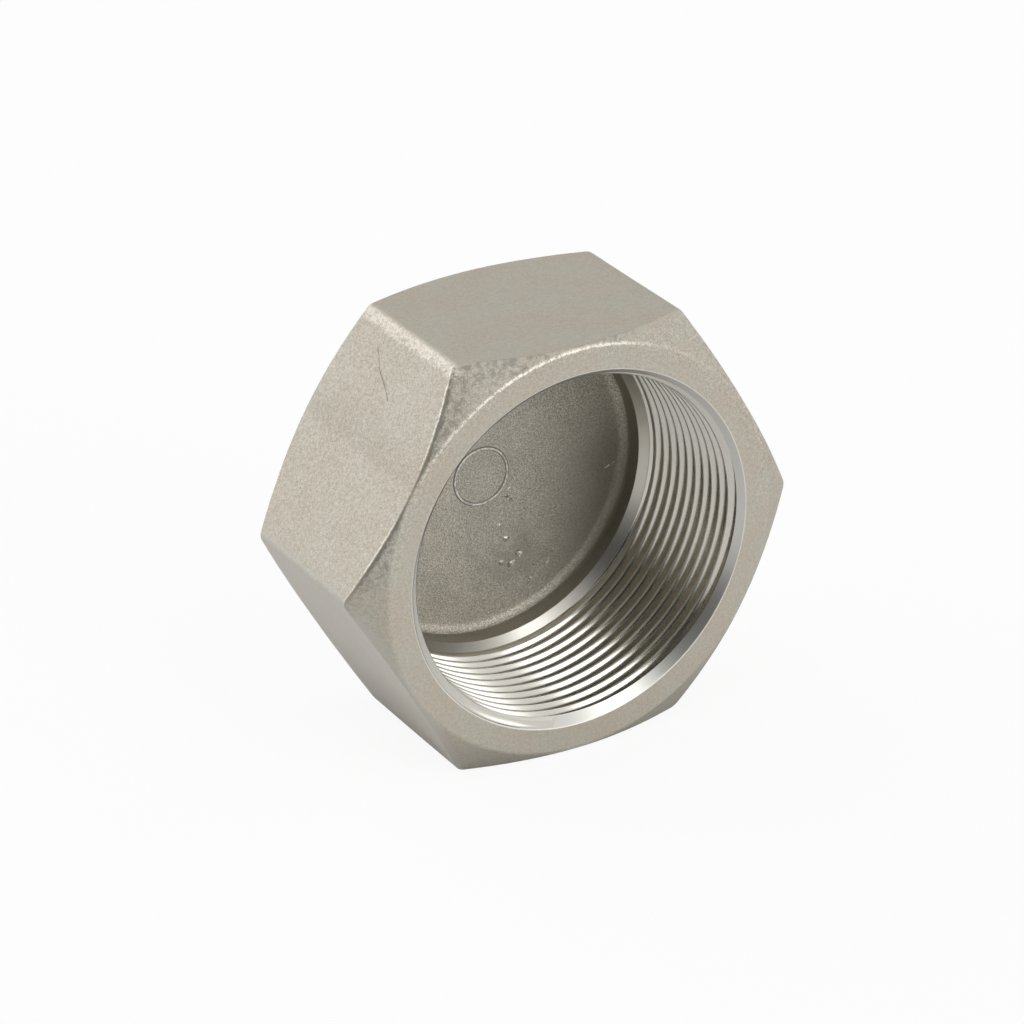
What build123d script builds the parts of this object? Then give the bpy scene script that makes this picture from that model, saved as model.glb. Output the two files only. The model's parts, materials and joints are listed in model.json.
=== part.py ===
from build123d import *
import os
from math import cos, radians, tan

# Hexagon pipe cap for a two-inch parallel pipe thread, cast in stainless steel
# and then bored and threaded from the open end. It lies on one of its flats:
# the bore axis runs along Y, the mouth faces -Y and the closed end faces +Y.
# The origin is the middle of the footprint, with the lower flat at Z = 0.
# All lengths are in millimetres and all angles in degrees.

# The machined bore, measured inwards from the mouth
minor_radius = 28.328          # crest radius of the pipe thread, 11 turns to the inch
countersink_width = 1.62       # radial width of the bevel that leads into the thread
countersink_angle = 51.0       # measured from the bore axis
mouth_edge_radius = 0.25
threaded_depth = 25.4          # from the mouth to the end of the thread
runout_length = 1.2            # cone that the boring tool leaves behind the thread
runout_step = 1.2              # how far that cone narrows the bore

# The cast hollow behind the machined bore, and the closed end
hollow_length = 3.8
floor_fillet = 1.8
closed_wall = 3.9

# The hexagon: 69 across the flats with this wall at the thread crests
flat_wall = 6.172
corner_radius = 1.5            # cast rounding along the six long edges

# The end faces are round lands, and a conical chamfer takes off the corners
# outside each land. An inset is how far a land stays inside the flats. The
# edges are rounded at the mouth and crisp at the closed end.
mouth_land_inset = 0.5
mouth_chamfer_angle = 33.0     # measured from the end face
closed_land_inset = 1.5
closed_chamfer_angle = 32.0
land_rim_radius = 0.8          # rounded rim between the mouth's land and its chamfer
chamfer_edge_radius = 0.4      # rounded edge between the mouth's chamfer and the flats

# The low raised ring that a casting pin leaves in the middle of the floor
ring_radius = 4.8
ring_width = 0.65              # at its foot
ring_crest_width = 0.25        # between its sloping sides
ring_height = 0.22

half_flats = minor_radius + flat_wall
sharp_corner_radius = half_flats / cos(radians(30))
runout_depth = threaded_depth + runout_length
floor_depth = runout_depth + hollow_length
overall_length = floor_depth + closed_wall
countersink_radius = minor_radius + countersink_width
countersink_depth = countersink_width / tan(radians(countersink_angle))
hollow_radius = minor_radius - runout_step
mouth_land_radius = half_flats - mouth_land_inset
closed_land_radius = half_flats - closed_land_inset

mouth_centre = (0, -overall_length / 2, half_flats)
mouth = Plane(origin=mouth_centre, x_dir=(1, 0, 0), z_dir=(0, 1, 0))
# On the section plane X is the radius and Y the depth behind the mouth.
section = Plane(origin=mouth_centre, x_dir=(1, 0, 0), z_dir=(0, 0, 1))
bore_axis = Axis(origin=mouth_centre, direction=(0, 1, 0))

with BuildPart() as cap:
    # Hexagon bar with rounded corners
    with BuildSketch(mouth) as hexagon:
        RegularPolygon(radius=half_flats, side_count=6, major_radius=False)
        fillet(hexagon.vertices(), radius=corner_radius)
    extrude(amount=overall_length)

    # A turned envelope takes off the corners of the hexagon: at each end a
    # land and a cone that runs out past the rounded corners.
    mouth_cone_width = sharp_corner_radius - mouth_land_radius
    mouth_cone_depth = mouth_cone_width * tan(radians(mouth_chamfer_angle))
    closed_cone_width = sharp_corner_radius - closed_land_radius
    closed_cone_depth = closed_cone_width * tan(radians(closed_chamfer_angle))
    with BuildSketch(section) as envelope:
        with BuildLine():
            Polyline(
                (0, 0),
                (mouth_land_radius, 0),
                (sharp_corner_radius, mouth_cone_depth),
                (sharp_corner_radius, overall_length - closed_cone_depth),
                (closed_land_radius, overall_length),
                (0, overall_length),
                close=True,
            )
        make_face()
        # Sorted by radius: two on the axis, the two land rims, two past the corners
        land_rims = envelope.vertices().sort_by(Axis.X)[2:4]
        mouth_rim = land_rims.sort_by(Axis.Y)[0]
        fillet(mouth_rim, radius=land_rim_radius)
    revolve(axis=bore_axis, mode=Mode.INTERSECT)

    # Cast rounding where the mouth's chamfer meets the flats and the long edges
    chamfer_edges = cap.edges().filter_by(GeomType.HYPERBOLA) + cap.edges().filter_by(GeomType.BSPLINE)
    mouth_chamfer_edges = chamfer_edges.filter_by(lambda edge: edge.center().Y < 0)
    fillet(mouth_chamfer_edges, radius=chamfer_edge_radius)

    # The bore is one revolved cut: countersink, thread crests, run-out cone,
    # cast hollow and the fillet that leads into the floor.
    with BuildSketch(section) as bore_section:
        with BuildLine():
            Polyline(
                (0, 0),
                (countersink_radius, 0),
                (minor_radius, countersink_depth),
                (minor_radius, threaded_depth),
                (hollow_radius, runout_depth),
                (hollow_radius, floor_depth),
                (0, floor_depth),
                close=True,
            )
        make_face()
        floor_corner = bore_section.vertices().group_by(Axis.Y)[-1].sort_by(Axis.X)[-1]
        fillet(floor_corner, radius=floor_fillet)
    revolve(axis=bore_axis, mode=Mode.SUBTRACT)

    # The sharp edge of the mouth is broken.
    mouth_edge = cap.edges().filter_by(GeomType.CIRCLE).sort_by(
        lambda edge: abs(edge.radius - countersink_radius) + abs(edge.arc_center.Y - mouth_centre[1])
    )[0]
    fillet(mouth_edge, radius=mouth_edge_radius)

    # The raised ring on the floor has sloping sides and a narrow flat crest.
    with BuildSketch(section):
        with BuildLine():
            Polyline(
                (ring_radius - ring_width / 2, floor_depth),
                (ring_radius - ring_crest_width / 2, floor_depth - ring_height),
                (ring_radius + ring_crest_width / 2, floor_depth - ring_height),
                (ring_radius + ring_width / 2, floor_depth),
                close=True,
            )
        make_face()
    revolve(axis=bore_axis)

cap.part.label = "cap"
os.makedirs("parts", exist_ok=True)
export_step(cap.part, "parts/cap.step")
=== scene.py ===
import json
from math import atan2, cos, radians, sin, sqrt, tan

import bpy
from bpy.props import FloatProperty, FloatVectorProperty, PointerProperty
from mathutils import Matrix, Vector, noise


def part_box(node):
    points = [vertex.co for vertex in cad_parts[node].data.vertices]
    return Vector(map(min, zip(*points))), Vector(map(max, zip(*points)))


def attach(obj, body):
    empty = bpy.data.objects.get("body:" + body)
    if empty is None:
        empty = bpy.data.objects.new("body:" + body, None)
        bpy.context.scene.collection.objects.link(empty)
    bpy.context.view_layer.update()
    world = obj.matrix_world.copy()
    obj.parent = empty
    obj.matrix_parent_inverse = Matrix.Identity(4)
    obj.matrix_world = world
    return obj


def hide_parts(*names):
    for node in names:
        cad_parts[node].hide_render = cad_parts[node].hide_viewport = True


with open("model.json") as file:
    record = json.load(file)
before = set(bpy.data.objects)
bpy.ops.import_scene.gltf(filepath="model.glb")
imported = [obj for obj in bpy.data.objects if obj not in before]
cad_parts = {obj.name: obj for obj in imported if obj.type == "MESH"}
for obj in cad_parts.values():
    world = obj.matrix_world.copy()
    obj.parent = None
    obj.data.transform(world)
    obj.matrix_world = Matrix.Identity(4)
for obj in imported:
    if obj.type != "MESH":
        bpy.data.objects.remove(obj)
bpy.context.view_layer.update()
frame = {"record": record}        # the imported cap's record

bl_info = {
    "name": "Hexagon pipe cap",
    "version": (1, 0, 0),
    "blender": (4, 5, 0),
    "location": "3D View > Sidebar > Pipe cap",
    "description": "A cast hexagon pipe cap with its turned bore and pipe thread, in a plain studio",
    "category": "Add Mesh",
}

MM = 0.001
TOUCHING = 1e-9          # points nearer to each other than this, in metres, are one

# The cap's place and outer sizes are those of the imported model.
LOW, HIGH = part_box("cap")
THREAD = next(mount for mount in frame["record"]["mounts"] if mount["name"] == "thread")
CREST_RADIUS = THREAD["dims"]["r_mm"] * MM
MOUTH_CENTRE = Vector((THREAD["pos_m"][0], LOW[1], THREAD["pos_m"][2]))
LENGTH = HIGH[1] - LOW[1]
HALF_FLATS = (HIGH[2] - LOW[2]) / 2

# The groove of a 55 degree pipe thread: its depth and its roundings, as shares of the pitch, and the
# lean of its flanks. The crests are a little flattened, so they are rounded less than the roots.
GROOVE_DEPTH = 0.640327
ROOT_ROUND = 0.137329
CREST_ROUND = 0.09
FLANK_ANGLE = radians(27.5)

# Turns round the bore axis, from +X, of the two flats on the camera's side
UPPER_LEFT = radians(150)
LOWER_LEFT = radians(210)

# Which finish a strip of the cap's surface has, in the order of its material slots
CAST, CORED, RING, MARK, HOLLOW, RUNOUT, TURNED, CREST, BEVELLED, LIP = range(10)

# Lumps that casting left on the floor of the hollow: each from one place to another, across and up
# from the bore axis, with its width and its height, in millimetres
FLOOR_MARKS = (
    ((6.4, -15.0), (7.6, -15.8), 1.2, 0.45),
    ((4.0, -11.8), (5.2, -12.4), 0.9, 0.3),
    ((4.8, -17.3), (6.4, -16.6), 0.8, 0.28),
    ((3.1, -15.9), (4.4, -16.7), 0.8, 0.28),
    ((12.8, -17.0), (14.4, -16.1), 0.7, 0.25),
    ((11.6, -18.9), (13.0, -17.8), 0.7, 0.28),
    ((9.8, -20.0), (10.8, -20.4), 0.8, 0.3),
    ((8.8, -20.3), (9.6, -20.8), 0.6, 0.22),
    ((9.5, -18.1), (10.1, -18.6), 0.5, 0.2),
    ((1.2, -12.8), (1.9, -13.2), 0.5, 0.2),
    ((2.7, -9.3), (3.6, -9.6), 0.6, 0.2),
    ((1.9, -11.0), (2.6, -11.3), 0.5, 0.2),
    ((4.6, -3.5), (6.1, -3.0), 0.5, 0.2),
    ((4.2, -4.3), (5.0, -4.9), 0.6, 0.25),
    ((5.2, -5.3), (5.9, -5.9), 0.6, 0.2),
    ((23.0, -4.4), (25.0, -3.6), 0.35, 0.12),
)

# A thin lap in the skin of the upper-left flat: places along the flat, from its middle, and behind
# the mouth, in millimetres
LAP_PATH = ((-15.6, 23.7), (-14.1, 22.1), (-12.5, 20.6), (-11.3, 18.2), (-10.2, 16.3), (-9.2, 15.1))
LAP_WIDTH = 0.36
LAP_HEIGHT = 0.11

# How much the lumps and the lap vary along their length, and how often on each millimetre
MARK_UNEVENNESS = 0.8
MARK_BUMPS = 3

# Two places across and up from the bore axis, in millimetres: the middle of the stain round the lumps
# on the floor, and the spot on a long edge that is rubbed bright and also given a painted highlight
STAIN = (7.5, -16.0)
RUBBED_HIGHLIGHT_SPOT = (-20.4, 33.6)

# How metallic the cast surfaces are; the turned ones are wholly so
CAST_METALLIC = 0.9


def length(name, description, millimetres, least=0.0):
    """A length property, with its default given in millimetres."""
    return FloatProperty(
        name=name, description=description, default=millimetres * MM, min=least, unit="LENGTH", precision=5
    )


def angle(name, description, degrees):
    """An angle property, with its default given in degrees."""
    return FloatProperty(name=name, description=description, default=radians(degrees), subtype="ANGLE")


def colour(name, description, red, green, blue):
    """A colour property, with its default given in linear light."""
    return FloatVectorProperty(
        name=name, description=description, default=(red, green, blue), min=0.0, max=1.0, subtype="COLOR"
    )


def level(name, description, default):
    """A brightness property; 1 is white."""
    return FloatProperty(name=name, description=description, default=default, min=0.0)


def dullness(name, description, default):
    """A roughness property; 0 is a mirror."""
    return FloatProperty(
        name=name, description=description, default=default, min=0.0, max=1.0, subtype="FACTOR"
    )


class CapSizes(bpy.types.PropertyGroup):
    """Sizes of the cap's section and thread, measured inwards from the mouth."""

    pitch: length("Thread pitch", "Distance between turns of the thread, 11 to the inch", 2.309)
    last_groove: length("Last groove", "Depth of the last whole groove on the +X side", 24.73)
    fade_start: length("Fade start", "Depth at which the thread tool begins to leave the wall", 24.1)
    fade_end: length("Fade end", "Depth at which the groove has run out", 25.2)
    threaded_depth: length("Threaded depth", "From the mouth to the end of the thread", 25.4)
    countersink_width: length("Countersink width", "Radial width of the bevel before the thread", 1.62)
    countersink_angle: angle("Countersink angle", "Measured from the bore axis", 51.0)
    mouth_edge: length("Mouth edge", "Radius of the broken edge round the mouth", 0.25)
    runout_length: length("Run-out length", "Length of the cone behind the thread", 1.2)
    runout_step: length("Run-out step", "How far the run-out cone narrows the bore", 1.2)
    hollow_length: length("Hollow length", "From the run-out cone to the floor", 3.8)
    floor_fillet: length("Floor fillet", "Radius between the hollow's wall and its floor", 1.8)
    ring_radius: length("Ring radius", "Radius of the raised ring on the floor", 4.8)
    ring_width: length("Ring width", "Width of the raised ring at its foot", 0.65)
    ring_height: length("Ring height", "Height of the raised ring", 0.22)
    corner_radius: length("Corner radius", "Cast rounding along the six long edges", 1.5)
    mouth_land_inset: length("Mouth land inset", "How far the mouth's land stays inside the flats", 0.5)
    closed_land_inset: length("Closed land inset", "How far the back's land stays inside the flats", 1.5)
    mouth_chamfer: angle("Mouth chamfer", "Angle of the mouth's conical chamfer to the end face", 33.0)
    chamfer_lean: angle("Chamfer lean", "How much steeper the mouth's chamfer is at the top", 7.0)
    closed_chamfer: angle("Closed chamfer", "Angle of the closed end's conical chamfer to its face", 32.0)
    land_rim: length("Land rim", "Radius between a land and its chamfer", 0.8)
    chamfer_edge: length("Chamfer edge", "Radius between a chamfer and the flats", 0.4)
    cast_swell: length("Cast swell", "Depth of the low waves that casting leaves in the skin", 0.06)


class CapFinish(bpy.types.PropertyGroup):
    """Colours, textures and dullness of the cap's cast and turned surfaces."""

    cast_light: colour("Cast, light", "Lighter grains of the cast skin", 0.69, 0.66, 0.583)
    cast_dark: colour("Cast, dark", "Darker grains of the cast skin", 0.445, 0.418, 0.356)
    cast_warm: colour("Cast, warm", "Faint warmer patches of the cast skin", 1.0, 0.97, 0.955)
    # Painted cooler light on the lower-left flat, for the bluish light from the floor below it
    lower_left_cool_light: colour("Cast, cool", "The smoother skin of the lower-left flat", 0.58, 0.567, 0.535)
    # Edges rubbed bright, and also a painted highlight where the light falls on the upper left
    cast_rubbed_highlight: colour("Cast, rubbed", "Edges of the cast skin, rubbed bright", 0.92, 0.88, 0.80)
    cored_light: colour("Cored, light", "Lighter grains on the floor of the hollow", 0.90, 0.85, 0.745)
    cored_dark: colour("Cored, dark", "Darker grains on the floor of the hollow", 0.36, 0.335, 0.285)
    # Painted shade on the hollow's wall and on the foot of the ring
    hollow_shade: colour("Cored, smooth", "The smooth wall beside the floor", 0.34, 0.32, 0.275)
    # Painted highlight on the crest of the raised ring
    ring_highlight: colour("Ring", "Crest of the raised ring", 1.0, 0.97, 0.90)
    lump_tint: colour("Lumps", "The small lumps on the floor", 0.86, 0.83, 0.76)
    # Darker skin beside the chamfer's edges, also used for painted shade near the floor and beside a step
    edge_dark_and_shade: colour("Edge dark and shade", "Darkened skin beside the edges of the chamfer", 0.18, 0.17, 0.14)
    turned_tint: colour("Turned", "Freshly cut steel", 0.66, 0.64, 0.58)
    bevel_tint: colour("Countersink", "The bevel that leads into the thread", 0.60, 0.59, 0.55)
    # Painted highlight on the broken edge of the mouth
    lip_highlight: colour("Lip", "The broken edge of the mouth", 0.82, 0.80, 0.74)
    cast_grain: length("Cast grain", "Size of the grains in the cast skin", 0.2)
    turned_lines: length("Turned lines", "Spacing of the lines that the lathe tool leaves", 0.12)
    cast_dullness: dullness("Cast dullness", "Roughness of the cast skin", 0.7)
    floor_dullness: dullness("Floor dullness", "Roughness of the hollow's floor", 0.6)
    cored_dullness: dullness("Cored dullness", "Roughness of the ring, lumps and hollow's wall", 0.42)
    runout_dullness: dullness("Run-out dullness", "Roughness of the cone behind the thread", 0.33)
    thread_dullness: dullness("Thread dullness", "Roughness of the thread's flanks and roots", 0.17)
    crest_dullness: dullness("Crest dullness", "Roughness of the thread's crests", 0.34)
    bevel_dullness: dullness("Countersink dullness", "Roughness of the countersink", 0.34)
    lip_dullness: dullness("Lip dullness", "Roughness of the broken edge of the mouth", 0.5)


class Studio(bpy.types.PropertyGroup):
    """The camera, the floor and the light tent with its panels."""

    azimuth: angle("Camera azimuth", "Turn of the camera about the vertical", -31.0)
    elevation: angle("Camera elevation", "Height of the camera above the horizon", 26.76)
    distance: length("Camera distance", "From the camera to its target", 677.96)
    lens: FloatProperty(
        name="Lens", description="Focal length on a 36 mm sensor", default=153.4, min=1.0, unit="CAMERA"
    )
    aim_depth: length("Aim depth", "Depth behind the mouth of the target before its shift", 15.68)
    aim_right: length("Aim to the right", "Shift of the target in the camera's view", -2.684, least=-1.0)
    aim_above: length("Aim above", "Shift of the target in the camera's view", 0.044, least=-1.0)
    floor_tint: colour("Floor", "Pale studio floor", 0.84, 0.84, 0.84)
    tent_level: level("Tent", "Brightness of the white tent round the cap", 0.88)
    opening_level: level("Opening", "Brightness of the dark opening that the camera looks through", 0.03)
    shade_level: level("Shade", "Brightness of the shaded part of the tent, behind on the right", 0.35)
    key_level: level("Key light", "Brightness of the panel behind on the left", 1.65)
    softbox_level: level("Soft box", "Brightness of the panel in front on the right", 3.7)
    fill_level: level("Fill light", "Brightness of the low panel at the far right of the front", 2.3)


class Value:
    """A node's output, on which arithmetic can be written."""

    def __init__(self, shader, socket):
        self.shader = shader
        self.socket = socket

    def output(self, name):
        """Another output of the same node."""
        return Value(self.shader, self.socket.node.outputs[name])

    def _maths(self, operation, first, second):
        return self.shader.node("ShaderNodeMath", {"operation": operation}, {0: first, 1: second})

    def __add__(self, other):
        return self._maths("ADD", self, other)

    __radd__ = __add__

    def __sub__(self, other):
        return self._maths("SUBTRACT", self, other)

    def __rsub__(self, other):
        return self._maths("SUBTRACT", other, self)

    def __mul__(self, other):
        return self._maths("MULTIPLY", self, other)

    __rmul__ = __mul__

    def __truediv__(self, other):
        return self._maths("DIVIDE", self, other)

    def __pow__(self, other):
        return self._maths("POWER", self, other)

    def __abs__(self):
        return self._maths("ABSOLUTE", self, 0.0)

    def or_more(self, other):
        """The greater of the two."""
        return self._maths("MAXIMUM", self, other)


class Shader:
    """A node tree, built one node at a time."""

    def __init__(self, tree):
        self.tree = tree
        tree.nodes.clear()

    def node(self, kind, settings=None, sockets=None):
        """Adds a node of that type, sets it up and fills its sockets with values or links."""
        node = self.tree.nodes.new(kind)
        for name, value in (settings or {}).items():
            setattr(node, name, value)
        for name, value in (sockets or {}).items():
            socket = self._input(node, name)
            if isinstance(value, Value):
                self.tree.links.new(value.socket, socket)
            else:
                socket.default_value = value
        shown = [socket for socket in node.outputs if socket.enabled]
        return Value(self, shown[0]) if shown else None

    @staticmethod
    def _input(node, name):
        if isinstance(name, int):
            return node.inputs[name]
        return next(socket for socket in node.inputs if socket.name == name and socket.enabled)

    def mix(self, share, first, second):
        """A colour between two others."""
        colours = [value if isinstance(value, Value) else (*value, 1.0) for value in (first, second)]
        return self.node(
            "ShaderNodeMix", {"data_type": "RGBA"}, {"Factor": share, "A": colours[0], "B": colours[1]}
        )

    def climb(self, value, start, end):
        """0 before the start and 1 after the end, with a smooth climb between them."""
        return self.node(
            "ShaderNodeMapRange", {"interpolation_type": "SMOOTHSTEP"},
            {"Value": value, "From Min": start, "From Max": end},
        )


def material(name):
    """A new material and the shader that builds its nodes."""
    made = bpy.data.materials.new(name)
    made.use_nodes = True
    return made, Shader(made.node_tree)


def finish_material(shader, sockets):
    """Closes a material with its surface shader."""
    surface = shader.node("ShaderNodeBsdfPrincipled", {}, sockets)
    shader.node("ShaderNodeOutputMaterial", {}, {"Surface": surface})


def millimetres(shader):
    """Places on the cap, measured from the middle of its mouth in millimetres."""
    place = shader.node("ShaderNodeTexCoord").output("Object")
    return shader.node("ShaderNodeVectorMath", {"operation": "SCALE"}, {0: place, "Scale": 1 / MM})


def grains(shader, place, size, detail=3.0, roughness=0.6):
    """Random grains of about that size, from 0 to 1."""
    return shader.node(
        "ShaderNodeTexNoise", {},
        {"Vector": place, "Scale": 1 / size, "Detail": detail, "Roughness": roughness},
    )


def bumped(shader, height):
    """The surface's normal on a relief whose height is given in millimetres."""
    return shader.node("ShaderNodeBump", {}, {"Height": height, "Distance": MM, "Strength": 1.0})


def chamfer_slope(sizes, lean):
    """Slope of the mouth's chamfer, which leans in full at the top of the cap and not at its sides."""
    slope = tan(sizes.mouth_chamfer)
    return slope + lean * (tan(sizes.mouth_chamfer + sizes.chamfer_lean) - slope)


def on_flat(shader, distance):
    """1 on the flat in whose direction the distance from the bore axis is measured."""
    flat = HALF_FLATS / MM
    return shader.climb(distance, flat - 1.2, flat - 0.5)


class SkinPlace:
    """Where a point of the skin lies, in millimetres: across from and above the bore axis, inside the
    flats, outside the mouth's land and behind its chamfer. It also says which part of the skin that is."""

    def __init__(self, shader, sizes):
        self.point = millimetres(shader)
        parts = shader.node("ShaderNodeSeparateXYZ", {}, {0: self.point})
        self.across, depth, self.up = (parts.output(axis) for axis in "XYZ")
        reach = abs(self.up)
        for turn in (30, 150):
            reach = reach.or_more(abs(self.towards(radians(turn))))
        self.inside_flats = HALF_FLATS / MM - reach
        radius = (self.across * self.across + self.up * self.up) ** 0.5
        self.outside_land = radius - (HALF_FLATS - sizes.mouth_land_inset) / MM
        height = (self.up / radius).or_more(0.0)
        self.behind_chamfer = depth - self.outside_land * chamfer_slope(sizes, height * height)

        # Each of these is 1 on its part of the skin: the upper half, the left side, three of the flats,
        # the chamfer, and the skin near the mouth.
        self.above = shader.climb(self.up, -6.0, 8.0)
        self.on_left = 1 - shader.climb(self.across, 4.0, 15.0)
        self.on_top = on_flat(shader, self.up)
        self.on_upper_left = on_flat(shader, self.towards(UPPER_LEFT))
        self.on_lower_left = on_flat(shader, self.towards(LOWER_LEFT))
        at_chamfer = 1 - shader.climb(self.behind_chamfer, -0.1, 0.3)
        self.on_chamfer = shader.climb(self.outside_land, 0.1, 0.5) * at_chamfer
        self.at_mouth = 1 - shader.climb(self.behind_chamfer, 1.0, 4.0)

    def towards(self, turn):
        """How far the point lies from the bore axis in the direction of that turn from +X."""
        return self.across * cos(turn) + self.up * sin(turn)


def rubbed_highlit_edges(shader, skin, wander):
    """Where the edges of the skin on the upper left are rubbed bright and carry a painted highlight, from
    0 to 1.
    """
    beside_flats = 1 - shader.climb(abs(skin.behind_chamfer - 0.34 + wander * 0.5), 0.06, 0.24)
    off_land = shader.climb(skin.outside_land, 0.5, 1.1)
    flat_edge = beside_flats * off_land * skin.above * skin.on_left * (1 - skin.on_top) * 0.6
    beside_land = 1 - shader.climb(abs(skin.outside_land - 0.02 + wander * 0.5), 0.06, 0.34)
    land_rim = beside_land * skin.at_mouth * shader.climb(skin.up, 13.0, 25.0) * skin.on_left * 0.7
    spot_across, spot_up = RUBBED_HIGHLIGHT_SPOT
    off_spot = ((skin.across - spot_across) ** 2 + (skin.up - spot_up) ** 2) ** 0.5
    spot = (1 - shader.climb(off_spot + wander * 0.5, 0.5, 1.5)) * 0.4
    return flat_edge.or_more(land_rim).or_more(spot)


def darker_chamfer_and_shade(shader, skin, ragged, wander):
    """Where the chamfer is darker: in a ragged band beside the flats on the upper left, a little all
    over, and more towards the floor as painted shade.
    """
    # Painted shade on the chamfer towards the floor
    shade_towards_floor = 1 - shader.climb(skin.up, -33.0, -22.0)
    band = (1 - shader.climb(skin.inside_flats + wander, 0.35, 0.7)) * (1 - skin.on_top)
    mottled = (1 - shader.climb(skin.inside_flats, 1.2, 4.5)) * shader.climb(ragged, 0.4, 0.62)
    darker_upper_left = skin.above * skin.on_left * band.or_more(mottled * 0.65)
    return skin.on_chamfer * darker_upper_left.or_more(0.12 + shade_towards_floor * 0.3)


def cast_skin(look, sizes):
    """Matte cast stainless steel, mottled and darker on the chamfer, with painted highlights along the
    edges where they are also rubbed bright, painted shade near the floor and beside a step, and painted
    cooler light on the lower-left flat.
    """
    made, shader = material("cast_skin")
    skin = SkinPlace(shader, sizes)
    grain = look.cast_grain / MM
    fine = grains(shader, skin.point, grain, detail=2.0)
    medium = grains(shader, skin.point, 3 * grain, detail=2.0)
    patches = grains(shader, skin.point, 7.0, detail=1.0)
    ragged = grains(shader, skin.point, 1.0, detail=4.0)
    wander = (ragged - 0.5) * 1.6
    rubbed_highlight = rubbed_highlit_edges(shader, skin, wander) * shader.climb(fine + medium, 0.8, 1.06)
    chamfer_dark_and_shade = darker_chamfer_and_shade(shader, skin, ragged, wander)

    # A faint step runs along the middle of the upper-left flat, with painted shade beside it.
    past_middle = skin.towards(UPPER_LEFT + radians(90)) + (ragged - 0.5) * 2
    step_down = shader.climb(past_middle, -1.2, 0.0) * skin.on_upper_left
    beside_step = shader.climb(past_middle, -9.0, -1.0) * (skin.on_upper_left - step_down)
    # The lower end of the lower-left flat, near the floor, gets painted shade.
    shaded_end = skin.on_lower_left * shader.climb(skin.across, -32.0, -18.0)
    shaded = (shaded_end * 0.2).or_more(beside_step * 0.1)

    # The top flat, the land and the lower half of the cap are smoother than the rest.
    smooth_land = (1 - shader.climb(skin.outside_land, -3.5, -0.5)) * skin.at_mouth
    smooth = skin.on_top.or_more(smooth_land).or_more(0.8 - skin.above * 0.8)

    tone = shader.climb(fine * 0.66 + medium * 0.34, 0.33, 0.67)
    tint = shader.mix(tone + smooth * (0.47 - tone) * 0.6, look.cast_dark, look.cast_light)
    tint = shader.node(
        "ShaderNodeMix", {"data_type": "RGBA", "blend_type": "MULTIPLY"},
        {"Factor": shader.climb(patches, 0.35, 0.65), "A": tint, "B": (*look.cast_warm, 1.0)},
    )
    # Painted light: the lower-left flat is tinted cooler, for the light that comes up from the floor.
    tint = shader.mix(skin.on_lower_left * 0.6, tint, look.lower_left_cool_light)
    # The darker chamfer, with painted shade towards the floor and beside the step
    tint = shader.mix(chamfer_dark_and_shade.or_more(shaded), tint, look.edge_dark_and_shade)
    # Painted highlight along the upper-left edges, where they are also rubbed bright
    tint = shader.mix(rubbed_highlight * 0.8, tint, look.cast_rubbed_highlight)
    relief = (0.012 + skin.on_chamfer * 0.03) * (1 - smooth * 0.6)
    height = (fine + medium * 1.6) * relief - step_down * 0.03
    finish_material(shader, {
        "Base Color": tint,
        "Metallic": CAST_METALLIC,
        "Roughness": look.cast_dullness - rubbed_highlight * 0.32,
        "Normal": bumped(shader, height),
    })
    return made


def cored_floor(look):
    """The cast floor of the hollow, left grainy by its core."""
    made, shader = material("cored_floor")
    place = millimetres(shader)
    grain = look.cast_grain * 0.8 / MM
    fine = grains(shader, place, grain, detail=2.0)
    medium = grains(shader, place, 2.5 * grain, detail=2.0)
    patches = grains(shader, place, 4.0, detail=3.0)
    parts = shader.node("ShaderNodeSeparateXYZ", {}, {0: place})
    across, up = parts.output("X"), parts.output("Z")

    # The stain is wider than it is high, and the lower right of the floor is darkened as painted shade.
    stain_across, stain_up = STAIN
    aside = across - stain_across
    above = up - stain_up
    reach = (aside * aside * 0.4 + above * above) ** 0.5 + (patches - 0.5) * 8
    stained = (1 - shader.climb(reach, 1.0, 5.5)) * 0.35
    lower_right_shade = shader.climb(across, 6.0, 24.0) * (1 - shader.climb(up, -4.0, 10.0)) * 0.7

    mottle = fine * 0.7 + medium * 0.22 + patches * 0.08
    tone = shader.climb(mottle, 0.38, 0.62) * (1 - stained.or_more(lower_right_shade))
    finish_material(shader, {
        "Base Color": shader.mix(tone, look.cored_dark, look.cored_light),
        "Metallic": CAST_METALLIC,
        "Roughness": look.floor_dullness,
        "Normal": bumped(shader, fine * 0.07 + medium * 0.045),
    })
    return made


def darkened(tint, share):
    """A colour, darkened by that share."""
    return [part * (1 - share) for part in tint]


def cored_steel(name, look, tint, relief, blotches):
    """Cast steel smoother than the floor round it, darkened in blotches."""
    made, shader = material(name)
    fine = grains(shader, millimetres(shader), 0.6)
    finish_material(shader, {
        "Base Color": shader.mix(shader.climb(fine, 0.4, 0.6), darkened(tint, blotches), tint),
        "Metallic": CAST_METALLIC,
        "Roughness": look.cored_dullness,
        "Normal": bumped(shader, fine * relief),
    })
    return made


def turned_steel(name, look, tint, roughness):
    """Bright turned steel, with the fine lines that the tool leaves round the bore."""
    made, shader = material(name)
    parts = shader.node("ShaderNodeSeparateXYZ", {}, {0: millimetres(shader)})
    across, depth, up = (parts.output(axis) for axis in "XYZ")
    radius = (across * across + up * up) ** 0.5
    drift = across * 0.012 + up * 0.009
    section = shader.node("ShaderNodeCombineXYZ", {}, {"X": radius, "Y": depth, "Z": drift})
    lines = grains(shader, section, look.turned_lines / MM, detail=2.0)
    finish_material(shader, {
        "Base Color": shader.mix(lines, darkened(tint, 0.05), tint),
        "Metallic": 1.0,
        "Roughness": roughness,
        "Normal": bumped(shader, lines * 0.0015),
    })
    return made


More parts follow.
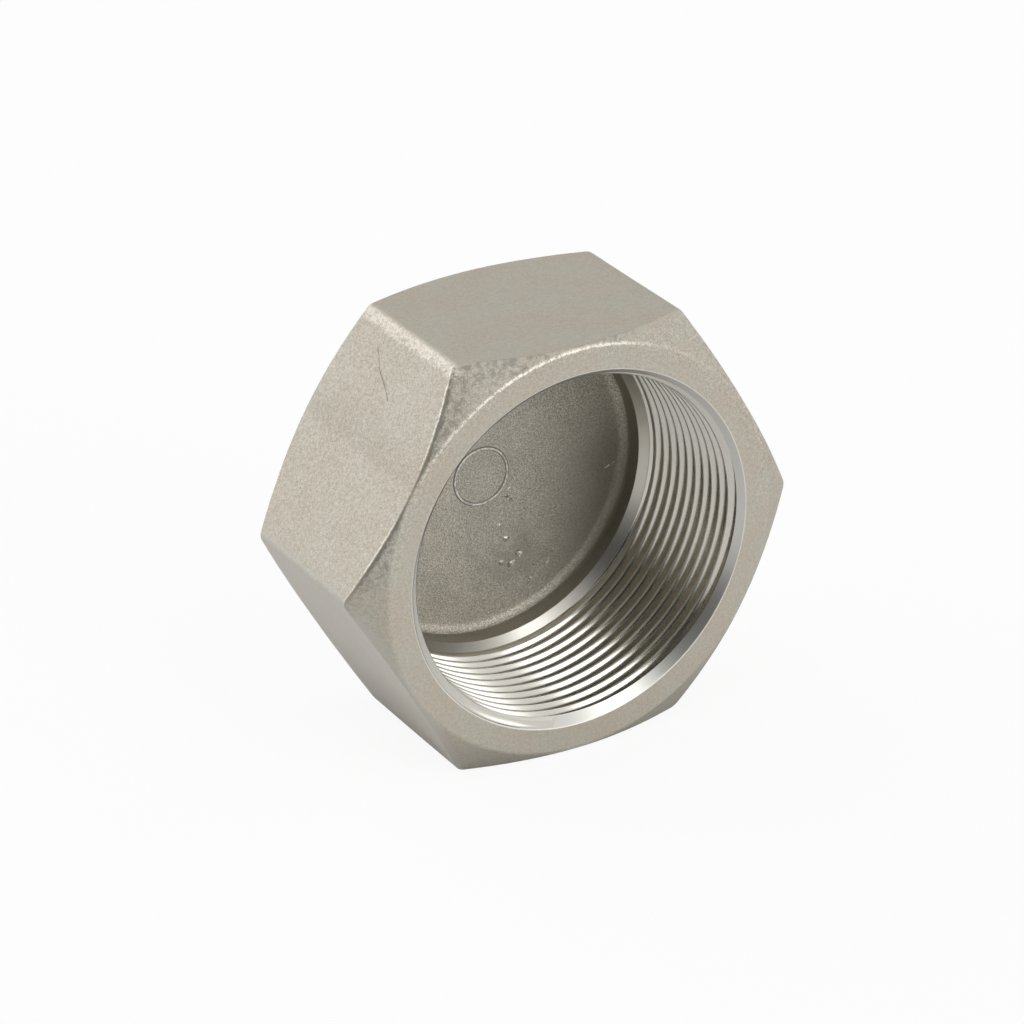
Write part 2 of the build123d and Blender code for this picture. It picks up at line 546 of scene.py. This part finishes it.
def rounded(before, corner, after, radius, steps):
    """The round that takes off a corner of the section, as points from one side to the other."""
    back = (before - corner).normalized()
    ahead = (after - corner).normalized()
    half_angle = back.angle(ahead) / 2
    centre = corner + (back + ahead).normalized() * radius / sin(half_angle)
    start = (corner + back * radius / tan(half_angle) - centre).normalized()
    end = (corner + ahead * radius / tan(half_angle) - centre).normalized()
    return [centre + start.slerp(end, step / steps) * radius for step in range(steps + 1)]


def between(start, end, steps):
    """Points that divide a straight stretch of the section, without its two ends."""
    return [start.lerp(end, step / steps) for step in range(1, steps)]


class Section:
    """The cap's outline in a half plane through the bore axis, from the floor's middle to the back's.
    A point is a radius and a depth behind the mouth, and its finish is that of the strip before it."""

    def __init__(self):
        self.points = []
        self.finishes = []
        self.thread_start = 0
        self.thread_end = 0

    def add(self, finish, points):
        """Carries the outline on through these points, with that finish."""
        self.points += points
        self.finishes += [finish] * len(points)

    def add_thread(self, form, points):
        """Carries the outline on along the thread, whose crests have their own finish."""
        self.thread_start = len(self.points)
        for row, point in enumerate(points):
            crest = form.on_crest[row % len(form.on_crest)]
            self.add(CREST if crest else TURNED, [point])
        self.thread_end = len(self.points)


class ThreadForm:
    """The pipe thread's groove, which the tool cuts from the crests outwards."""

    def __init__(self, sizes):
        self.sizes = sizes
        self.pitch = sizes.pitch
        self.depth = GROOVE_DEPTH * self.pitch
        self.root_round = ROOT_ROUND * self.pitch
        self.root_width = self.root_round * cos(FLANK_ANGLE)
        self.crest_round = CREST_ROUND * self.pitch
        # A crest that is rounded less than the roots keeps a narrow flat; this is half of its width.
        crest_half = (self.root_round - self.crest_round) * tan(radians(45) - FLANK_ANGLE / 2)
        self.crest_start = self.pitch / 2 - crest_half
        self.flank_end = self.crest_start - self.crest_round * cos(FLANK_ANGLE)
        self.places = self._places()
        strips = zip([self.places[-1], *self.places], self.places)
        self.on_crest = [min(abs(start), abs(end)) >= self.flank_end for start, end in strips]

    def _places(self):
        """Where the mesh has its rows on one turn, from the groove's middle, deepest first."""
        root = [self.root_width * share for share in (0.5, 1.0)]
        crest = [self.flank_end, (self.flank_end + self.crest_start) / 2, self.crest_start]
        flank_width = self.flank_end - self.root_width
        flank = [self.root_width + flank_width * share for share in (0.12, 0.5, 0.88)]
        side = root + flank + crest
        return [*reversed(side), 0.0, *(-place for place in side)]

    def cut(self, place):
        """Depth of the whole groove at a place along the bore, from the groove's middle."""
        place = abs(place)
        if place <= self.root_width:
            return self.depth - self.root_round + sqrt(self.root_round**2 - place**2)
        if place >= self.crest_start:
            return 0.0
        if place >= self.flank_end:
            return self.crest_round - sqrt(self.crest_round**2 - (self.crest_start - place) ** 2)
        flank_start = self.depth - self.root_round * (1 - sin(FLANK_ANGLE))
        return flank_start - (place - self.root_width) / tan(FLANK_ANGLE)

    def withdrawn(self, middle):
        """How far the tool has left the wall where the groove's middle is at that depth."""
        share = (middle - self.sizes.fade_start) / (self.sizes.fade_end - self.sizes.fade_start)
        share = min(max(share, 0.0), 1.0)
        return self.depth * share

    def middle_near(self, turn, depth):
        """Depth of the middle of the groove nearest to that depth, at that share of a turn."""
        first = self.sizes.last_groove - self.pitch * turn
        return first + self.pitch * round((depth - first) / self.pitch)

    def radius(self, turn, depth):
        """Radius of the threaded wall."""
        middle = self.middle_near(turn, depth)
        return CREST_RADIUS + max(0.0, self.cut(depth - middle) - self.withdrawn(middle))

    def rows(self, turn):
        """Depths of the mesh rows at that share of a turn, from behind the thread to before the mouth.
        A groove narrows as the tool leaves the wall."""
        spare_grooves = 3
        narrowing = 0.8
        depths = []
        for groove in range(int(self.sizes.threaded_depth / self.pitch) + spare_grooves):
            middle = self.sizes.last_groove + self.pitch * (1 - turn - groove)
            width = 1 - narrowing * self.withdrawn(middle) / self.depth
            depths += [middle + place * width for place in self.places]
        return depths


def countersink_radius(sizes, depth):
    """Radius of the countersink's cone at a depth."""
    return CREST_RADIUS + sizes.countersink_width - depth * tan(sizes.countersink_angle)


def thread_entry(sizes, form, turn):
    """Depth at which the thread comes out of the countersink."""
    whole = sizes.countersink_width / tan(sizes.countersink_angle)
    step = whole / 200
    depth = 0.0
    while depth < whole and form.radius(turn, depth) < countersink_radius(sizes, depth):
        depth += step
    return depth - step / 2


def threaded_rows(sizes, form, turn):
    """The section's points along the thread, whose rows are held at the thread's two ends."""
    start = thread_entry(sizes, form, turn)
    end = sizes.threaded_depth
    narrowest = form.pitch / 90
    points = []
    for depth in form.rows(turn):
        if depth > end - narrowest:
            points.append(Vector((CREST_RADIUS, end)))
        elif depth < start + narrowest:
            points.append(Vector((countersink_radius(sizes, start), start)))
        else:
            radius = max(form.radius(turn, depth), countersink_radius(sizes, depth))
            points.append(Vector((radius, depth)))
    return points


def floor_points(sizes, depth, reach):
    """The floor of the hollow, from its middle to its fillet, with the raised ring."""
    steps_inside = 5
    steps_outside = 18
    half_ring = sizes.ring_width / 2
    inside = sizes.ring_radius - half_ring
    outside = sizes.ring_radius + half_ring
    radii = [inside * step / steps_inside for step in range(steps_inside)]
    radii += [sizes.ring_radius + half_ring * share for share in (-1, -0.5, -0.2, 0.2, 0.5, 1)]
    radii += [outside + (reach - outside) * step / steps_outside for step in range(1, steps_outside)]
    points = []
    for radius in radii:
        rise = 1 - ((radius - sizes.ring_radius) / half_ring) ** 2
        points.append(Vector((radius, depth - max(rise, 0.0) * sizes.ring_height)))
    return points


def add_hollow(section, sizes):
    """Carries the section from the middle of the floor to the foot of the run-out cone. The ring's
    crest has a painted highlight, and its foot has the painted shade of the hollow's wall."""
    runout_depth = sizes.threaded_depth + sizes.runout_length
    floor_depth = runout_depth + sizes.hollow_length
    hollow_radius = CREST_RADIUS - sizes.runout_step
    floor_corner = Vector((hollow_radius, floor_depth))
    wall_end = Vector((hollow_radius, runout_depth))
    fillet = rounded(Vector((0, floor_depth)), floor_corner, wall_end, sizes.floor_fillet, steps=9)
    for point in floor_points(sizes, floor_depth, fillet[0].x):
        off = (point.x - sizes.ring_radius) / sizes.ring_width
        on_crest = -0.2 < off < 0.3
        on_foot = -0.45 < off < 0.55
        section.add(RING if on_crest else HOLLOW if on_foot else CORED, [point])
    grainy_points = 7
    section.add(CORED, fillet[:grainy_points])
    # The far part of the fillet and the wall are darkened as painted shade.
    section.add(HOLLOW, fillet[grainy_points:])
    section.add(HOLLOW, between(fillet[-1], wall_end, steps=3))
    section.add(HOLLOW, [wall_end])


def add_turned_bore(section, sizes, form, turn):
    """Carries the section from the hollow along the run-out cone and the thread."""
    runout_start = Vector((CREST_RADIUS, sizes.threaded_depth))
    section.add(RUNOUT, between(section.points[-1], runout_start, steps=4))
    section.add(RUNOUT, [runout_start])
    section.add_thread(form, threaded_rows(sizes, form, turn))


def add_mouth(section, sizes, turn, outer_radius):
    """Carries the section from the thread over the countersink, the land and the mouth's chamfer."""
    bevel_start = section.points[-1]
    mouth_corner = Vector((CREST_RADIUS + sizes.countersink_width, 0))
    land_corner = Vector((HALF_FLATS - sizes.mouth_land_inset, 0))
    edge = rounded(bevel_start, mouth_corner, land_corner, sizes.mouth_edge, steps=4)
    section.add(BEVELLED, between(bevel_start, edge[0], steps=4))
    section.add(BEVELLED, edge[:1])
    # The broken edge of the mouth is brightened as a painted highlight.
    section.add(LIP, edge[1:])

    # The chamfer's line is carried on past the outer wall, to round both of its ends.
    height = max(sin(radians(360) * turn), 0.0)
    slope = chamfer_slope(sizes, height**2)
    far = outer_radius * 1.2
    far_side = Vector((far, (far - land_corner.x) * slope))
    mouth_side = Vector((outer_radius, (outer_radius - land_corner.x) * slope))
    middle = Vector((outer_radius, LENGTH / 2))
    rim = rounded(mouth_corner, land_corner, far_side, sizes.land_rim, steps=5)
    bend = rounded(land_corner, mouth_side, middle, sizes.chamfer_edge, steps=4)
    section.add(CAST, between(edge[-1], rim[0], steps=5))
    section.add(CAST, rim)
    section.add(CAST, between(rim[-1], bend[0], steps=5))
    section.add(CAST, bend)


def add_back(section, sizes, outer_radius):
    """Carries the section from the mouth's chamfer along the outer wall to the middle of the back."""
    slope = tan(sizes.closed_chamfer)
    back_middle = Vector((0, LENGTH))
    back_corner = Vector((HALF_FLATS - sizes.closed_land_inset, LENGTH))
    far = outer_radius * 1.2
    far_side = Vector((far, LENGTH - (far - back_corner.x) * slope))
    back_side = Vector((outer_radius, LENGTH - (outer_radius - back_corner.x) * slope))
    middle = Vector((outer_radius, LENGTH / 2))
    bend = rounded(middle, back_side, back_corner, sizes.chamfer_edge, steps=4)
    rim = rounded(far_side, back_corner, back_middle, sizes.land_rim, steps=5)
    section.add(CAST, between(section.points[-1], bend[0], steps=22))
    section.add(CAST, bend)
    section.add(CAST, between(bend[-1], rim[0], steps=5))
    section.add(CAST, rim)
    section.add(CAST, between(rim[-1], back_middle, steps=20))
    section.add(CAST, [back_middle])


def section_at(sizes, form, turn, outer_radius):
    """The cap's outline at a share of a turn, where its outer wall has that radius."""
    section = Section()
    add_hollow(section, sizes)
    add_turned_bore(section, sizes, form, turn)
    add_mouth(section, sizes, turn, outer_radius)
    add_back(section, sizes, outer_radius)
    return section


def hexagon_columns(sizes):
    """Angles round the bore axis, each with the radius of the hexagon's rounded outline there."""
    corner_place = (HALF_FLATS - sizes.corner_radius) / cos(radians(30))
    corner_half = atan2(sizes.corner_radius / 2, corner_place + sizes.corner_radius * cos(radians(30)))
    corner_steps = 6
    flat_steps = 36
    columns = []
    for side in range(6):
        corner = radians(60 * side)
        for step in range(corner_steps):
            off = corner_half * (2 * step / corner_steps - 1)
            reach = sqrt(sizes.corner_radius**2 - (corner_place * sin(off)) ** 2)
            columns.append((corner + off, corner_place * cos(off) + reach))
        for step in range(flat_steps):
            off = corner_half + (radians(60) - 2 * corner_half) * step / flat_steps
            columns.append((corner + off, HALF_FLATS / cos(off - radians(30))))
    return columns


def without_repeats(corners):
    """A face's corners, with those left out that have run together."""
    return [corner for place, corner in enumerate(corners) if corner != corners[place - 1]]


def raised_mark(path, outwards, width, height):
    """A low closed lump along a path on the skin, tapered at both ends: its vertices and faces."""
    steps = 9
    around = 6
    bend_step = radians(180) / (around - 2)
    vertices = [path[0]]
    for step in range(1, steps):
        share = step / steps
        place = share * (len(path) - 1)
        leg = min(int(place), len(path) - 2)
        middle = path[leg].lerp(path[leg + 1], place - leg)
        aside = (path[leg + 1] - path[leg]).normalized().cross(outwards)
        taper = sqrt(1 - (2 * share - 1) ** 2)
        for bend in (bend_step * part for part in range(around - 1)):
            off = aside * cos(bend) * width / 2 + outwards * sin(bend) * height
            swell = taper * (1 + MARK_UNEVENNESS * noise.noise((middle + off) / MM * MARK_BUMPS))
            vertices.append(middle + off * swell)
        vertices.append(middle - outwards * height)
    vertices.append(path[-1])

    rings = [[1 + around * step + part for part in range(around)] for step in range(steps - 1)]
    faces = []
    for part in range(around):
        after = (part + 1) % around
        faces.append((0, rings[0][part], rings[0][after]))
        faces.append((len(vertices) - 1, rings[-1][after], rings[-1][part]))
        for here, there in zip(rings, rings[1:]):
            faces.append((here[part], there[part], there[after], here[after]))
    return vertices, faces


def casting_marks(sizes):
    """The lumps on the floor and the lap in the upper-left flat, each with its finish."""
    floor_depth = sizes.threaded_depth + sizes.runout_length + sizes.hollow_length
    towards_mouth = Vector((0, -1, 0))
    marks = []
    for start, end, width, height in FLOOR_MARKS:
        path = [Vector((across * MM, floor_depth, up * MM)) for across, up in (start, end)]
        marks.append((MARK, raised_mark(path, towards_mouth, width * MM, height * MM)))
    outwards = Vector((cos(UPPER_LEFT), 0, sin(UPPER_LEFT)))
    along = Vector((-sin(UPPER_LEFT), 0, cos(UPPER_LEFT)))
    middle = outwards * HALF_FLATS
    path = [middle + along * place * MM + Vector((0, depth * MM, 0)) for place, depth in LAP_PATH]
    marks.append((CAST, raised_mark(path, outwards, LAP_WIDTH * MM, LAP_HEIGHT * MM)))
    return marks


def cap_mesh(sizes):
    """The cap's closed surface: its section, carried round the axis while the thread climbs a pitch."""
    form = ThreadForm(sizes)
    columns = hexagon_columns(sizes)
    full_turn = radians(360)
    vertices = []
    rows = []
    for column_angle, outer_radius in columns:
        section = section_at(sizes, form, column_angle / full_turn, outer_radius)
        indices = []
        for place, point in enumerate(section.points):
            on_axis = point.x < TOUCHING
            repeat = place and (point - section.points[place - 1]).length < TOUCHING
            if repeat or (on_axis and rows):
                indices.append(indices[-1] if repeat else rows[0][place])
                continue
            vertices.append((point.x * cos(column_angle), point.y, point.x * sin(column_angle)))
            indices.append(len(vertices) - 1)
        rows.append(indices)

    # A turn later, each row of the thread meets the row of the next groove. The finishes and the
    # thread's two ends have the same rows in every section, so the last one stands for all.
    start, end = section.thread_start, section.thread_end
    one_turn = len(form.on_crest)
    first = rows[0]
    closing = first[:start] + first[start + one_turn:end] + [first[end - 1]] * one_turn + first[end:]
    faces = []
    finishes = []
    for here, there in zip(rows, rows[1:] + [closing]):
        for place in range(len(here) - 1):
            corners = without_repeats([here[place], here[place + 1], there[place + 1], there[place]])
            if len(corners) > 2:
                faces.append(corners)
                finishes.append(section.finishes[place + 1])

    for finish, (mark_vertices, mark_faces) in casting_marks(sizes):
        offset = len(vertices)
        vertices += mark_vertices
        faces += [[offset + corner for corner in face] for face in mark_faces]
        finishes += [finish] * len(mark_faces)

    mesh = bpy.data.meshes.new("cap_surface")
    mesh.from_pydata(vertices, [], faces)
    mesh.polygons.foreach_set("material_index", finishes)
    return mesh


def swell_cast_skin(mesh, sizes):
    """Gives the cast surfaces low waves, which fade out beside the turned ones."""
    long_wave = 11
    short_wave = 4
    highest = 1.2
    turned = set()
    for face in mesh.polygons:
        if face.material_index not in (CAST, CORED, RING):
            turned.update(face.vertices)
    moves = {}
    for vertex in mesh.vertices:
        if vertex.index in turned:
            continue
        place = vertex.co / MM
        wave = noise.noise(place / long_wave) + 0.5 * noise.noise(place / short_wave)
        outwards = sizes.cast_swell * (wave - highest) / (2 * highest)
        moves[vertex.index] = vertex.normal * outwards
    for index, move in moves.items():
        mesh.vertices[index].co += move


class OBJECT_OT_pipe_cap(bpy.types.Operator):
    """Adds the cap, cast outside and turned and threaded inside."""

    bl_idname = "object.pipe_cap_add"
    bl_label = "Pipe cap"

    def execute(self, context):
        sizes = context.scene.cap_sizes
        look = context.scene.cap_finish
        mesh = cap_mesh(sizes)
        finishes = (
            cast_skin(look, sizes),
            cored_floor(look),
            # The ring's crest is brightened as a painted highlight.
            cored_steel("cored_ring", look, look.ring_highlight, relief=0.08, blotches=0.4),
            cored_steel("cored_lumps", look, look.lump_tint, relief=0.1, blotches=0.5),
            # The hollow's wall and the ring's foot are darkened as painted shade.
            cored_steel("cored_wall", look, look.hollow_shade, relief=0.01, blotches=0.08),
            turned_steel("runout_steel", look, look.turned_tint, look.runout_dullness),
            turned_steel("turned_steel", look, look.turned_tint, look.thread_dullness),
            turned_steel("crest_steel", look, look.turned_tint, look.crest_dullness),
            turned_steel("bevelled_steel", look, look.bevel_tint, look.bevel_dullness),
            # The lip's brighter tint is a painted highlight.
            turned_steel("lip_steel", look, look.lip_highlight, look.lip_dullness),
        )
        for finish in finishes:
            mesh.materials.append(finish)
        swell_cast_skin(mesh, sizes)
        mesh.shade_smooth()
        mesh.set_sharp_from_angle(angle=radians(30))
        cap = bpy.data.objects.new("hex_pipe_cap", mesh)
        cap.location = MOUTH_CENTRE
        context.collection.objects.link(cap)
        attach(cap, "root")
        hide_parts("cap")
        return {"FINISHED"}


def direction(azimuth, elevation):
    """From the cap towards that azimuth and height; azimuth 0 is in front of the mouth."""
    return Vector((sin(azimuth) * cos(elevation), -cos(azimuth) * cos(elevation), sin(elevation)))


def add_camera(context, studio):
    """The photograph's view."""
    data = bpy.data.cameras.new("camera")
    data.lens = studio.lens
    data.sensor_width = 36.0
    camera = bpy.data.objects.new("camera", data)
    context.collection.objects.link(camera)
    back = direction(studio.azimuth, studio.elevation)
    right = Vector((cos(studio.azimuth), sin(studio.azimuth), 0))
    up = back.cross(right)
    target = MOUTH_CENTRE + Vector((0, studio.aim_depth, 0))
    target += right * studio.aim_right + up * studio.aim_above
    camera.location = target + back * studio.distance
    camera.rotation_mode = "QUATERNION"
    camera.rotation_quaternion = (target - camera.location).to_track_quat("-Z", "Y")
    context.scene.camera = camera


def add_floor(context, studio):
    """A pale floor that the camera sees as white, apart from the cap's shadow."""
    half = 3.0
    whitened = 0.9           # how much of the floor's look is plain white to the camera
    corners = [(-half, -half, 0), (half, -half, 0), (half, half, 0), (-half, half, 0)]
    mesh = bpy.data.meshes.new("studio_floor")
    mesh.from_pydata(corners, [], [(0, 1, 2, 3)])
    made, shader = material("studio_floor")
    matte = shader.node("ShaderNodeBsdfDiffuse", {}, {"Color": (*studio.floor_tint, 1.0)})
    seen = shader.node("ShaderNodeLightPath").output("Is Camera Ray")
    white = shader.node("ShaderNodeEmission", {}, {"Color": (1.0, 1.0, 1.0, 1.0), "Strength": 1.0})
    lit = shader.node("ShaderNodeMixShader", {}, {0: seen * whitened, 1: matte, 2: white})
    shader.node("ShaderNodeOutputMaterial", {}, {"Surface": lit})
    mesh.materials.append(made)
    ground = bpy.data.objects.new("studio_floor", mesh)
    context.collection.objects.link(ground)


def add_world(context, studio):
    """A white light tent with brighter panels, and a dark opening for the camera."""
    world = bpy.data.worlds.new("light_tent")
    world.use_nodes = True
    shader = Shader(world.node_tree)
    towards = shader.node("ShaderNodeTexCoord").output("Generated")
    parts = shader.node("ShaderNodeSeparateXYZ", {}, {0: towards})
    across, back, up = (parts.output(axis) for axis in "XYZ")
    turn = shader.node("ShaderNodeMath", {"operation": "ARCTAN2"}, {0: across, 1: 0 - back})
    height = shader.node("ShaderNodeMath", {"operation": "ARCSINE"}, {0: up})

    def panel(azimuth, elevation, half_width, half_height, lean=0.0):
        """1 on a part of the tent with soft edges, given its middle and half its size, in degrees. A
        panel can lean to the left."""
        soft = radians(3)
        aside = shader.node(
            "ShaderNodeMath", {"operation": "WRAP"},
            {0: turn - radians(azimuth), 1: radians(180), 2: radians(-180)},
        )
        above = height - radians(elevation)
        share = 1
        for off, half in ((aside + above * lean, half_width), (above, half_height)):
            share = share * (1 - shader.climb(abs(off), radians(half) - soft, radians(half) + soft))
        return share

    opening = panel(azimuth=-31, elevation=21, half_width=32, half_height=23, lean=0.5)
    key = panel(azimuth=-150, elevation=30, half_width=40, half_height=30)
    shade = panel(azimuth=145, elevation=35, half_width=30, half_height=38)
    softbox = panel(azimuth=14, elevation=31, half_width=11, half_height=28)
    fill = panel(azimuth=51, elevation=11, half_width=8, half_height=8)
    light = studio.tent_level
    for share, brightness in (
        (opening, studio.opening_level),
        (key, studio.key_level),
        (shade, studio.shade_level),
        (softbox, studio.softbox_level),
        (fill, studio.fill_level),
    ):
        light = light + share * (brightness - studio.tent_level)
    seen = shader.node("ShaderNodeLightPath").output("Is Camera Ray")
    background = shader.node(
        "ShaderNodeBackground", {},
        {"Color": (1.0, 1.0, 1.0, 1.0), "Strength": light + seen * (1 - light)},
    )
    shader.node("ShaderNodeOutputWorld", {}, {"Surface": background})
    context.scene.world = world


class SCENE_OT_pipe_cap_studio(bpy.types.Operator):
    """Adds the studio: its camera, its floor and its light tent."""

    bl_idname = "scene.pipe_cap_studio"
    bl_label = "Studio"

    def execute(self, context):
        studio = context.scene.cap_studio
        add_camera(context, studio)
        add_floor(context, studio)
        add_world(context, studio)
        context.scene.view_settings.view_transform = "Standard"
        return {"FINISHED"}


class VIEW3D_PT_pipe_cap(bpy.types.Panel):
    """Lists the cap and its studio."""

    bl_label = "Pipe cap"
    bl_space_type = "VIEW_3D"
    bl_region_type = "UI"
    bl_category = "Pipe cap"

    def draw(self, context):
        for operator in OPERATORS:
            self.layout.operator(operator.bl_idname)
        for name in PROPERTIES:
            box = self.layout.box()
            values = getattr(context.scene, name)
            for field in values.__annotations__:
                box.prop(values, field)


OPERATORS = (OBJECT_OT_pipe_cap, SCENE_OT_pipe_cap_studio)
PROPERTIES = {"cap_sizes": CapSizes, "cap_finish": CapFinish, "cap_studio": Studio}


def register():
    for made in (*PROPERTIES.values(), *OPERATORS, VIEW3D_PT_pipe_cap):
        bpy.utils.register_class(made)
    for name, group in PROPERTIES.items():
        setattr(bpy.types.Scene, name, PointerProperty(type=group))


def unregister():
    for name in PROPERTIES:
        delattr(bpy.types.Scene, name)
    for made in (VIEW3D_PT_pipe_cap, *OPERATORS, *PROPERTIES.values()):
        bpy.utils.unregister_class(made)


def main():
    register()
    bpy.ops.object.pipe_cap_add()
    bpy.ops.scene.pipe_cap_studio()


if __name__ == "__main__":
    main()
